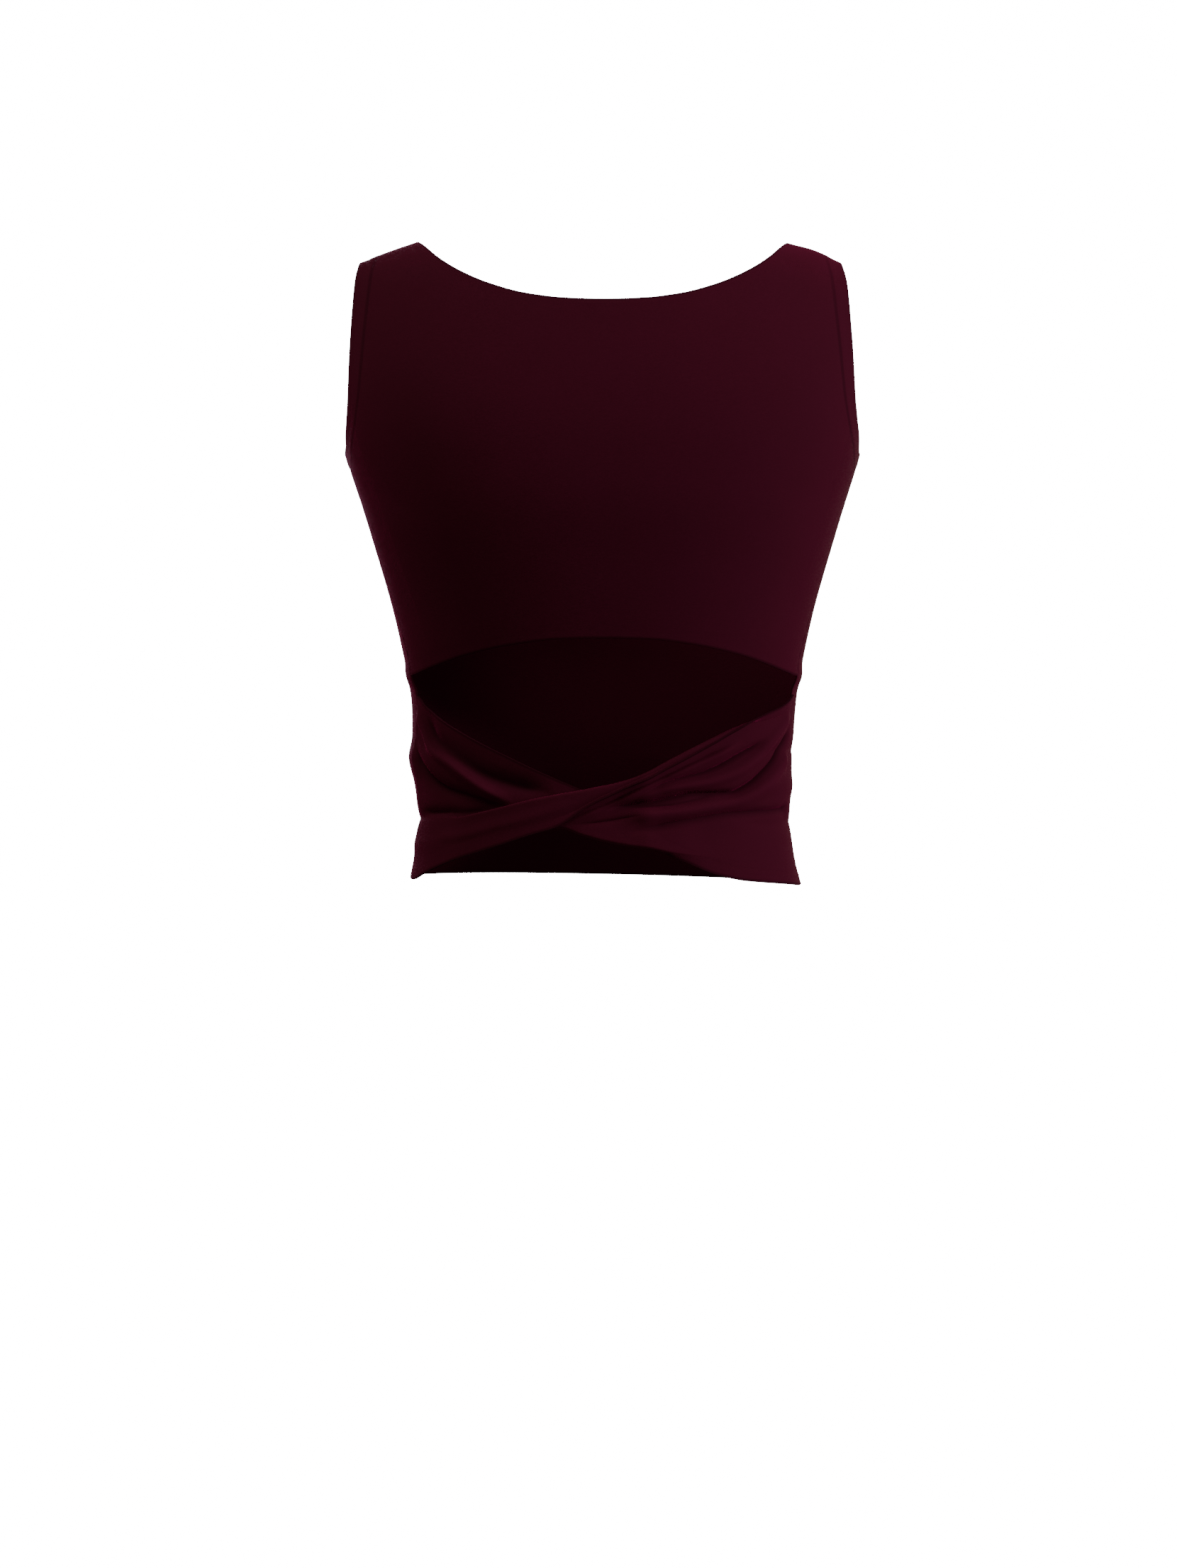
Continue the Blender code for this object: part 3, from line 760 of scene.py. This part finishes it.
def angles_of(cut, lay, strap, ring):
    """The angle of each point from the middle of the panel. The straps keep between neck and armhole."""
    angle = lay.c * seam_angle(cut, ring)
    straps = ~lay.on_neck & ~lay.on_side
    inner_at = [
        np.where(strap < lay.neck_ring, neck_angle(cut, strap, side), at * seam_angle(cut, strap))[:, None]
        for side, at in ((-1, lay.left), (1, lay.right))
    ]
    inner_at = np.where(lay.c[straps] < 0, *inner_at)
    outer_at = np.where(strap < lay.arm_ring, arm_angle(cut, strap), lay.outer * seam_angle(cut, strap))
    t = ((lay.size - lay.inner) / (lay.outer - lay.inner))[straps]
    on_strap = np.sign(lay.c[straps]) * (inner_at + t * (outer_at[:, None] - inner_at))
    high = cut.rows_strap + cut.rows_arm
    angle[:high, straps] = on_strap[:high]
    return angle


print("rows of the back:", len(rings_of(BACK, layout(BACK))[0]))

# %% The two grids


def panel(cut):
    """A grid of points over the form for a panel with two straps, and which of them are empty."""
    lay = layout(cut)
    strap, ring = rings_of(cut, lay)
    way = way_of(cut, angles_of(cut, lay, strap, ring))
    push = body_push(way, RING["level"](ring)) - WALL / 2
    grid = form(way, ring) + out_of(way, ring) * push[..., None]
    empty = np.zeros(grid.shape[:2], bool)
    empty[:cut.rows_strap, lay.on_neck] = True
    empty[:cut.rows_strap + cut.rows_arm, lay.on_side] = True
    return grid, empty


back_grid, back_empty = panel(BACK)
front_grid, front_empty = panel(FRONT)
print("back grid", back_grid.shape[:2], "front grid", front_grid.shape[:2])

# %% [markdown]
# ## The twist
# The band is flat cloth given half a turn, so its upper edge on the left becomes its lower edge on the
# right. In the middle it lies folded in three like the letter Z. The table gives, at each station along
# the band, the heights of its two edges and of the two folds between them. Across the band the cloth's
# direction swings from falling to rising and back, with round turns at the folds, and adding up that
# direction gives the section.

# %% Stations of the twist
Station = namedtuple("Station", "along edge_one fold_low fold_high edge_two")
TWIST = (
    Station(-1.00, -276, -284, -350, -387),
    Station(-0.96, -277.5, -290, -350, -388),
    Station(-0.90, -282.5, -304, -350, -387),
    Station(-0.84, -286, -320, -350, -384.5),
    Station(-0.74, -291.5, -339, -350, -380.5),
    Station(-0.62, -298, -351, -349.6, -376),
    Station(-0.50, -305, -357, -347, -371.5),
    Station(-0.37, -312.8, -358.5, -342.8, -366),
    Station(-0.25, -320.8, -356.5, -338.6, -360),
    Station(-0.15, -327.5, -355.8, -335.6, -355),
    Station(-0.06, -334, -360.5, -333, -344.8),
    Station(0.03, -347, -365.1, -329.4, -335.5),
    Station(0.09, -357, -367, -326.3, -330.6),
    Station(0.15, -365.5, -368.2, -322.1, -326.6),
    Station(0.21, -371.2, -369.7, -317, -321.4),
    Station(0.28, -376, -371.2, -311.6, -316),
    Station(0.39, -383, -373, -304.2, -307.8),
    Station(0.52, -387, -374.5, -296.8, -298.8),
    Station(0.62, -388.3, -375.3, -293, -292.3),
    Station(0.73, -389.3, -376, -291, -287),
    Station(0.88, -390.6, -377, -287.5, -281.4),
    Station(0.96, -391.2, -377.5, -285, -277.5),
    Station(1.00, -391.5, -378, -283, -275),
)
BAND_STATIONS = 220
print("stations in the table:", len(TWIST), "- rows of the band:", BAND_STATIONS + 1)

# %% [markdown]
# ## The section of the band
# Across the band the section has three legs: the back layer, the middle one that rises between the two
# folds, and the front layer. Each leg stands at least a little off the last one, which keeps the layers
# from touching. To the left the pleat grows in slowly, from flat cloth at the seam.

# %% Sizes of the section
FOLD_ROUND, LEAST_ROUND, LEAST_TURN, LEAST_LEG = 1.0, 0.12, 0.4, 0.5
SPANS_BACK, SPANS_MIDDLE, SPANS_FRONT, SPANS_TURN = 46, 94, 30, 8
LEAST_BACK, LEAST_MIDDLE, LEAST_FRONT = 2.6, 4.2, 2.6
STAND_OFF_FADES = 9.0
PLEAT_FROM, PLEAT_GROWS = -0.85, 0.72
PATH_STEPS = 1600
print("spans across:", SPANS_BACK + SPANS_MIDDLE + SPANS_FRONT + 2 * SPANS_TURN)

# %% Section across the band


def summed(values, step):
    """The running sum of a slope: what it adds up to at each place."""
    return np.concatenate([[0], np.cumsum((values[1:] + values[:-1]) / 2 * step)])


def section(one, low, high, two, share):
    """Depth and height across the band at one station, mm. The share says how far the pleat is grown."""
    drops = (one - low, low - high, high - two)
    least = (LEAST_BACK, LEAST_MIDDLE * share, LEAST_FRONT)
    sides = [way * math.exp(-((d / STAND_OFF_FADES) ** 2)) for d, way in zip(drops, least)]
    lengths = [max(math.hypot(d, s), way, LEAST_LEG) for d, s, way in zip(drops, sides, least)]
    back_way, middle_way, front_way = (math.atan2(s, d) for d, s in zip(drops, sides))
    low_at, high_at, end = np.cumsum(lengths)
    round_size = FOLD_ROUND * (LEAST_ROUND + (1 - LEAST_ROUND) * share)
    low_arc = max(round_size * abs(middle_way - back_way), LEAST_TURN)
    high_arc = max(round_size * abs(middle_way - front_way), LEAST_TURN)

    t = np.linspace(0, end, PATH_STEPS + 1)
    heading = back_way + (middle_way - back_way) * np.clip((t - low_at) / low_arc + 0.5, 0, 1)
    heading += (front_way - middle_way) * np.clip((t - high_at) / high_arc + 0.5, 0, 1)
    depth = summed(np.sin(heading), t[1])
    fall = summed(np.cos(heading), t[1])
    wanted = (one, low + WALL / 2 * abs(middle_way - back_way) / math.pi,
              high - WALL / 2 * abs(middle_way - front_way) / math.pi, two)
    knots = (0, low_at, high_at, end)
    height = -fall + np.interp(t, knots, [w + np.interp(k, t, fall) for w, k in zip(wanted, knots)])

    low_from, low_to = low_at - low_arc / 2, low_at + low_arc / 2
    high_from, high_to = high_at - high_arc / 2, high_at + high_arc / 2
    stops = spaced((0, low_from, SPANS_BACK), (low_from, low_to, SPANS_TURN),
                   (low_to, high_from, SPANS_MIDDLE), (high_from, high_to, SPANS_TURN),
                   (high_to, end, SPANS_FRONT))
    return np.stack([np.interp(stops, t, depth), np.interp(stops, t, height)], -1)


def turning(along):
    """The sections of the twisted band at each place along it."""
    place, *heights = columns(TWIST)
    grown = smooth_step((along - PLEAT_FROM) / PLEAT_GROWS)
    lines = [smooth_through(place, h)(along) for h in heights]
    return np.array([section(*at) for at in zip(*lines, grown)])


crossing = turning(np.array([0.0]))[0]
print("depth of the section at the crossing, mm:", round(float(np.ptp(crossing[:, 0])), 1))

# %% [markdown]
# ## Creases of the band
# The half turn gathers the cloth, so creases fan out from the crossing on both sides: two deep ones and a
# rounded ridge on the left, and a fan of long fine ones on the right. Their paths run over the place
# along the band and the level. The layer on top bridges the creases below it and keeps their ridges, and
# it has two rows of its own.

# %% Folds of the band
BAND_FOLDS = (
    Fold("left hollow", -3.4, 9, 4.5,
         ((-0.95, -287), (-0.85, -296), (-0.75, -306), (-0.56, -318), (-0.45, -325.5), (-0.29, -332),
          (-0.16, -334.5))),
    Fold("left ridge", 3.3, 4, 3.6,
         ((-1.1, -275), (-0.9, -295), (-0.81, -307), (-0.66, -316.5), (-0.54, -327), (-0.45, -334),
          (-0.32, -341))),
    Fold("left crease", -3.6, 2.6, 6,
         ((-1.05, -298), (-0.89, -317.7), (-0.81, -325.4), (-0.7, -331.3), (-0.58, -335.1),
          (-0.48, -338.8), (-0.33, -344))),
    Fold("low left crease", -2.0, 3, 4,
         ((-0.97, -346), (-0.78, -346.6), (-0.59, -347), (-0.48, -345.5), (-0.38, -343))),
    Fold("under the edge", -1.3, 1.4, 2.0,
         ((-0.12, -353), (-0.03, -344.5), (0.04, -338.3), (0.15, -329.5), (0.23, -323.6), (0.35, -315.6),
          (0.52, -305))),
    Fold("long pleat", 2.0, 1.7, 2.6,
         ((-0.16, -356), (-0.06, -348.2), (0.03, -341), (0.13, -332.3), (0.22, -326.1), (0.32, -319.3),
          (0.44, -312.5), (0.6, -303))),
    Fold("upper crease", -3.4, 2.0, 3.6,
         ((0.06, -339.5), (0.16, -332), (0.22, -328.2), (0.29, -325.6), (0.36, -323.2), (0.44, -319.3),
          (0.57, -311.5), (0.76, -302))),
    Fold("right ridge", 2.3, 5, 3.6,
         ((0.02, -343), (0.1, -337.5), (0.22, -332), (0.36, -329.5), (0.52, -324), (0.67, -314.3),
          (0.84, -299.4), (1.0, -287), (1.1, -278))),
    Fold("right crease", -4.4, 2.2, 3.5,
         ((-0.04, -347), (0.04, -342.6), (0.15, -340), (0.23, -337.4), (0.32, -335), (0.5, -334.6),
          (0.61, -329.9), (0.71, -323.1), (0.8, -316.2), (0.88, -308.2), (0.97, -299), (1.12, -280))),
    Fold("short crease", -1.9, 1.6, 2.2,
         ((0.03, -344.2), (0.13, -343.6), (0.23, -342.4), (0.33, -339.6), (0.45, -335.4))),
    Fold("low ridge", 2.4, 5, 5.5,
         ((0.02, -349), (0.2, -347), (0.38, -343.5), (0.56, -339), (0.73, -330), (0.88, -319.5),
          (1.05, -308))),
    Fold("low crease", -3.0, 2.2, 3.8,
         ((0.06, -360), (0.15, -355), (0.23, -352.1), (0.31, -350.2), (0.51, -346.4), (0.77, -345),
          (1.05, -343))),
    Fold("first crease", -1.6, 1.3, 1.7, ((-0.13, -355), (-0.01, -352), (0.06, -349.8), (0.14, -347.6))),
)
TOP_FOLDS = (
    Fold("groove by the edge", -1.0, 1.6, 1.2,
         ((-0.2, -353), (-0.11, -346.7), (-0.05, -341), (0.04, -332.6), (0.16, -323.4), (0.29, -313.8),
          (0.45, -303), (0.6, -295))),
    Fold("slack of the top layer", 1.0, 5, 4,
         ((-0.8, -362), (-0.6, -361), (-0.4, -355), (-0.22, -348), (-0.05, -337))),
)
print("band folds:", len(BAND_FOLDS), "and", len(TOP_FOLDS), "on the top layer")

# %% The grid of the band
MM_PER_ALONG, FOLD_RUN = 125, 0.14
RIDES_ROUND = 0.6
END_FADES = 0.08
EASE_REACH, EASE_UP_TO, EASE_GROWS = 12, -0.4, 0.1


def band():
    """The grid of the twisted band, along it by across it, and how far its folds push each point."""
    along = np.linspace(-1, 1, BAND_STATIONS + 1)
    path = turning(along)
    depth, height = path[..., 0], path[..., 1]
    u = np.broadcast_to(along[:, None], height.shape)
    depth = depth + (eased(depth, EASE_REACH) - depth) * smooth_step((EASE_UP_TO - u) / EASE_GROWS)
    folded = push_of(BAND_FOLDS, u, height, MM_PER_ALONG, FOLD_RUN)
    rides_over = (folded + np.hypot(folded, RIDES_ROUND)) / 2
    rides_over = rides_over + push_of(TOP_FOLDS, u, height, MM_PER_ALONG, FOLD_RUN)
    top_layer = np.arange(height.shape[1]) > SPANS_BACK + SPANS_TURN + SPANS_MIDDLE + SPANS_TURN // 2
    folded = np.where(top_layer, rides_over, folded) * smooth_step((1 - np.abs(u)) / END_FADES)
    ring = RING_OF_LEVEL(height)
    angle = u * SEAM_ANGLE(height)
    depth = depth + folded + body_push(angle, height) - WALL / 2
    return form(angle, ring) + out_of(angle, ring) * depth[..., None], folded


band_grid, band_folded = band()
print("band grid", band_grid.shape[:2], "deepest crease, mm:", round(float(band_folded.min()), 1))

# %% [markdown]
# ## From points to cloth
# A bmesh grid takes the points. Where an edge is free, its seam allowance lies turned inside, which shows
# as a faint step about 8 mm from the edge; along a seam the thread puckers the cloth a little. Then the
# sheet gets its wall, and a fine bevel rounds the turned edges. Three attributes are kept for the material,
# which paints shade and highlight by them: the distance to a free edge, the push of the folds, and whether
# an armhole is near. The UV map is in metres.

# %% A sheet from a grid


def lengths_from(grid, axis, start):
    """Distance along the rows or columns of a grid, from its line number start."""
    step = np.linalg.norm(np.diff(grid, axis=axis), axis=-1)
    run = np.concatenate([np.zeros_like(np.take(step, [0], axis)), np.cumsum(step, axis=axis)], axis)
    return run - np.take(run, [start], axis)


def sheet_of(grid, empty, folded):
    """A bmesh grid on the points, less its empty places, and each vertex's row and column."""
    rows, across = grid.shape[:2]
    bm = bmesh.new()
    uv = bm.loops.layers.uv.new("cloth")
    for name in ("edge_mm", "fold_mm", "armhole"):
        bm.verts.layers.float.new(name)
    fold_mark = bm.verts.layers.float["fold_mm"]
    bmesh.ops.create_grid(bm, x_segments=across - 1, y_segments=rows - 1, size=0.5)
    spot = {}
    for vertex in bm.verts:
        row = round((vertex.co.y + 0.5) * (rows - 1))
        column = round((vertex.co.x + 0.5) * (across - 1))
        spot[vertex] = (row, column)
        vertex.co = Vector(grid[row, column])
        vertex[fold_mark] = 0.0 if folded is None else folded[row, column]
    flat_u, flat_v = lengths_from(grid, 1, across // 2), lengths_from(grid, 0, 0)
    for face in bm.faces:
        for loop in face.loops:
            place = spot[loop.vert]
            loop[uv].uv = (flat_u[place] * MM, flat_v[place] * MM)
    if empty is not None:
        bmesh.ops.delete(bm, geom=[v for v in bm.verts if empty[spot[v]]], context="VERTS")
    bm.normal_update()
    return bm, spot


print("the arch from seam to seam, mm:", round(float(lengths_from(back_grid, 1, 0)[-1, -1])))

# %% Free edges and sewn edges
MARKS_ON_EDGE = 6


def nearest(points, edges):
    """The distance of each point to the nearest of the edges, mm."""
    shares = [k / MARKS_ON_EDGE for k in range(MARKS_ON_EDGE + 1)]
    marks = [e.verts[0].co.lerp(e.verts[1].co, share) for e in edges for share in shares]
    tree = KDTree(len(marks))
    for number, mark in enumerate(marks):
        tree.insert(mark, number)
    tree.balance()
    return [tree.find(p)[2] for p in points]


def edges_of(bm, spot, shape, shoulder):
    """The free edges of a sheet, and those sewn to another: its sides, or its ends and no shoulder."""
    rows, across = shape

    def on_seam(vertex):
        row, column = spot[vertex]
        return column in (0, across - 1) if shoulder else row in (0, rows - 1)

    borders = [e for e in bm.edges if e.is_boundary]
    seams = [e for e in borders if all(on_seam(v) for v in e.verts)]
    tops = [e for e in borders if shoulder and all(spot[v][0] == 0 for v in e.verts)]
    sewn = set(seams) | set(tops)
    return [e for e in borders if e not in sewn], seams + tops


print("edge helpers ready")

# %% The turned edge and the seam
ALLOWANCE, ALLOWANCE_STEP, NECK_SHARE = 8.0, 0.4, 0.2
ARMHOLE_FROM, ARMHOLE_GROWS, ARMHOLE_DOWN_TO = 128, 14, -200
PUCKER, PUCKER_LONG, PUCKER_REACH = 0.08, 9.0, 7.0
SEAM_CLEAR, EDGE_CLEAR = 10, 6


def turn_edges(bm, free, sewn):
    """Marks how far each vertex is from a free edge, lifts the turned part, and puckers the seams."""
    mark, armhole = (bm.verts.layers.float[name] for name in ("edge_mm", "armhole"))
    verts = bm.verts[:]
    places = [v.co for v in verts]
    for vertex, away, seam_away in zip(verts, nearest(places, free), nearest(places, sewn)):
        beside = float(smooth_step((abs(vertex.co.x) - ARMHOLE_FROM) / ARMHOLE_GROWS))
        beside *= vertex.co.z > ARMHOLE_DOWN_TO
        vertex[mark] = away
        vertex[armhole] = beside
        step = ALLOWANCE_STEP * (NECK_SHARE + (1 - NECK_SHARE) * beside)
        step *= float(smooth_step((ALLOWANCE + 1 - away) / 2)) * min(1, seam_away / SEAM_CLEAR)
        wave = math.sin(2 * math.pi * vertex.co.z / PUCKER_LONG) * math.exp(-seam_away / PUCKER_REACH)
        vertex.co += vertex.normal * (step + PUCKER * wave * min(1, away / EDGE_CLEAR))


print("turned allowance, mm:", ALLOWANCE)

# %% Cloth with its wall
EDGE_ROUND, EDGE_STEPS, EDGE_OVER = 0.45, 3, math.radians(50)


def cloth(name, grid, empty=None, folded=None, shoulder=True):
    """A piece: the sheet with its turned edges, then its wall and the round of its rim."""
    bm, spot = sheet_of(grid, empty, folded)
    turn_edges(bm, *edges_of(bm, spot, grid.shape[:2], shoulder))
    bmesh.ops.scale(bm, vec=(MM, MM, MM), verts=bm.verts[:])
    mesh = bpy.data.meshes.new(name)
    bm.to_mesh(mesh)
    bm.free()
    mesh.materials.append(jersey_cloth)
    mesh.materials.append(rim_shaded_cloth)
    mesh.shade_smooth()
    thing = bpy.data.objects.new(name, mesh)
    bpy.context.scene.collection.objects.link(thing)
    wall = thing.modifiers.new("wall", "SOLIDIFY")
    wall.thickness = WALL * MM
    wall.offset = 0.0
    wall.use_even_offset = False
    # the rim faces take the copy of the cloth with more painted shade
    wall.material_offset_rim = 1
    turned = thing.modifiers.new("turned edge", "BEVEL")
    turned.width = EDGE_ROUND * MM
    turned.segments = EDGE_STEPS
    turned.limit_method = "ANGLE"
    turned.angle_limit = EDGE_OVER
    return thing


back_piece = cloth("upper_back_cloth", back_grid, back_empty)
front_piece = cloth("front_cloth", front_grid, front_empty)
band_piece = cloth("twisted_band_cloth", band_grid, folded=band_folded, shoulder=False)
for piece in (back_piece, front_piece, band_piece):
    print(piece.name, len(piece.data.polygons), "faces before the wall")

# %% [markdown]
# ## Cut sizes
# For each piece the area it was cut to is worked out from its worn area. Jersey gives more across than
# down, and a close top is worn stretched by about a tenth, so the cut area is the worn area less that.
# The widths and lengths are the worn ones, 456 by 442, 390 by 303 and 285 by 118 mm, with that give taken
# off.

# %% Measure the pieces
GIVE = 1.1
Sheet = namedtuple("Sheet", "piece grid empty node width length rests_on")
SHEETS = (
    Sheet(front_piece, front_grid, front_empty, "front", 0.42, 0.43, "back_upper"),
    Sheet(back_piece, back_grid, back_empty, "back_upper", 0.36, 0.30, "front"),
    Sheet(band_piece, band_grid, None, "back_twist", 0.26, 0.12, "front"),
)


def worn_area(grid, empty):
    """Area of the cells of a grid, square metres."""
    one, two = grid[1:, 1:] - grid[:-1, :-1], grid[1:, :-1] - grid[:-1, 1:]
    area = np.linalg.norm(np.cross(one, two), axis=-1) / 2
    if empty is not None:
        area = np.where(empty[1:, 1:] | empty[:-1, :-1] | empty[1:, :-1] | empty[:-1, 1:], 0, area)
    return float(area.sum()) * MM * MM


for sheet in SHEETS:
    print(sheet.node, "worn area, square metres:", round(worn_area(sheet.grid, sheet.empty), 4))

for sheet in SHEETS:
    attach(sheet.piece, "root")
    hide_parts(sheet.node)
    cut_area = worn_area(sheet.grid, sheet.empty) / GIVE
    print(sheet.piece.name, "takes the place of", sheet.node)
